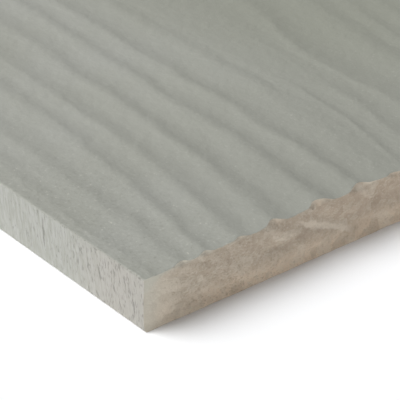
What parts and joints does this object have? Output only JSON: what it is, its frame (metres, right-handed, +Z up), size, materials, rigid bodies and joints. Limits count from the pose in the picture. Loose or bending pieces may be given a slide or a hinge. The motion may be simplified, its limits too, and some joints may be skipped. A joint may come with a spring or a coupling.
{
  "type": "fibre cement cladding board",
  "caption": "Long flat fibre cement lap board with a painted, wood-grain embossed face and raw cut ends, for cladding outside walls.",
  "frame": {"origin": "middle of the back, on the floor that the board lies on", "axes": "+X along the board, +Y across its width, +Z up out of the painted face"},
  "size_m": [3.6, 0.19, 0.01],
  "materials": {
    "painted_fibre_cement": "matt grey-green factory paint on an embossed face and long edges, bare beige cement on the cut ends"
  },
  "bodies": {
    "root": {"cladding_board": "painted_fibre_cement"}
  },
  "joints": []
}
